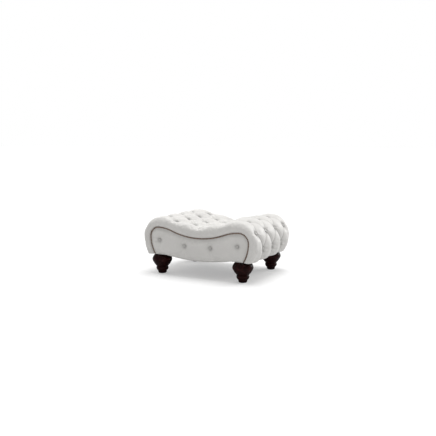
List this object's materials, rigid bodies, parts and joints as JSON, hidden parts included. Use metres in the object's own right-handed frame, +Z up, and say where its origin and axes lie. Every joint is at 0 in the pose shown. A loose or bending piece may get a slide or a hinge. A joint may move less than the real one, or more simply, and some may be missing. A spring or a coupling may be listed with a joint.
{
  "type": "footstool",
  "caption": "Padded footstool with a saddle-shaped diamond-tufted seat rolled over both ends, nail-trimmed buttoned facings and bulbous turned wooden feet.",
  "frame": {"origin": "on the floor, under the middle of the seat", "axes": "+X along the stool to its right end seen from the front, -Y to the front facing, +Z up"},
  "size_m": [0.8838, 0.6094, 0.4024],
  "materials": {
    "seat_leather": "off-white upholstery leather with a soft sheen",
    "facing_leather": "the same off-white leather, drawn smooth over the facing",
    "button_leather": "off-white leather drawn over a button blank",
    "nail_bronze": "antiqued bronze upholstery nails",
    "foot_wood": "dark mahogany stain under a glossy lacquer",
    "plywood": "sanded birch plywood",
    "rail_timber": "planed hardwood",
    "foam": "open-cell upholstery foam",
    "hessian": "coarse plain-weave jute",
    "webbing": "black and tan twill webbing",
    "twine": "waxed flax buttoning twine",
    "dust_cloth": "black non-woven dust cloth",
    "glide_plastic": "black nylon glide",
    "steel": "zinc-plated steel"
  },
  "bodies": {
    "root": {"back_facing_buttons": "button_leather", "back_facing_pad": "facing_leather", "back_left_corner_block": "rail_timber", "back_left_foot": "foot_wood", "back_nail_trim": "nail_bronze", "back_panel": "plywood", "back_right_corner_block": "rail_timber", "back_right_foot": "foot_wood", "bolt_nuts": "steel", "bolt_washers": "steel", "bottom_stretcher": "rail_timber", "deck_hessian": "hessian", "dust_cover": "dust_cloth", "foot_glides": "glide_plastic", "front_facing_buttons": "button_leather", "front_facing_pad": "facing_leather", "front_left_corner_block": "rail_timber", "front_left_foot": "foot_wood", "front_nail_trim": "nail_bronze", "front_panel": "plywood", "front_right_corner_block": "rail_timber", "front_right_foot": "foot_wood", "hanger_bolts": "steel", "left_crest_rail": "rail_timber", "left_dip_rail": "rail_timber", "left_end_rail": "rail_timber", "left_scroll_rail": "rail_timber", "right_crest_rail": "rail_timber", "right_dip_rail": "rail_timber", "right_end_rail": "rail_timber", "right_scroll_rail": "rail_timber", "seat_foam": "foam", "tuft_buttons": "button_leather", "tuft_ties": "twine", "tufted_cover": "seat_leather", "webbing_straps": "webbing"}
  },
  "joints": []
}
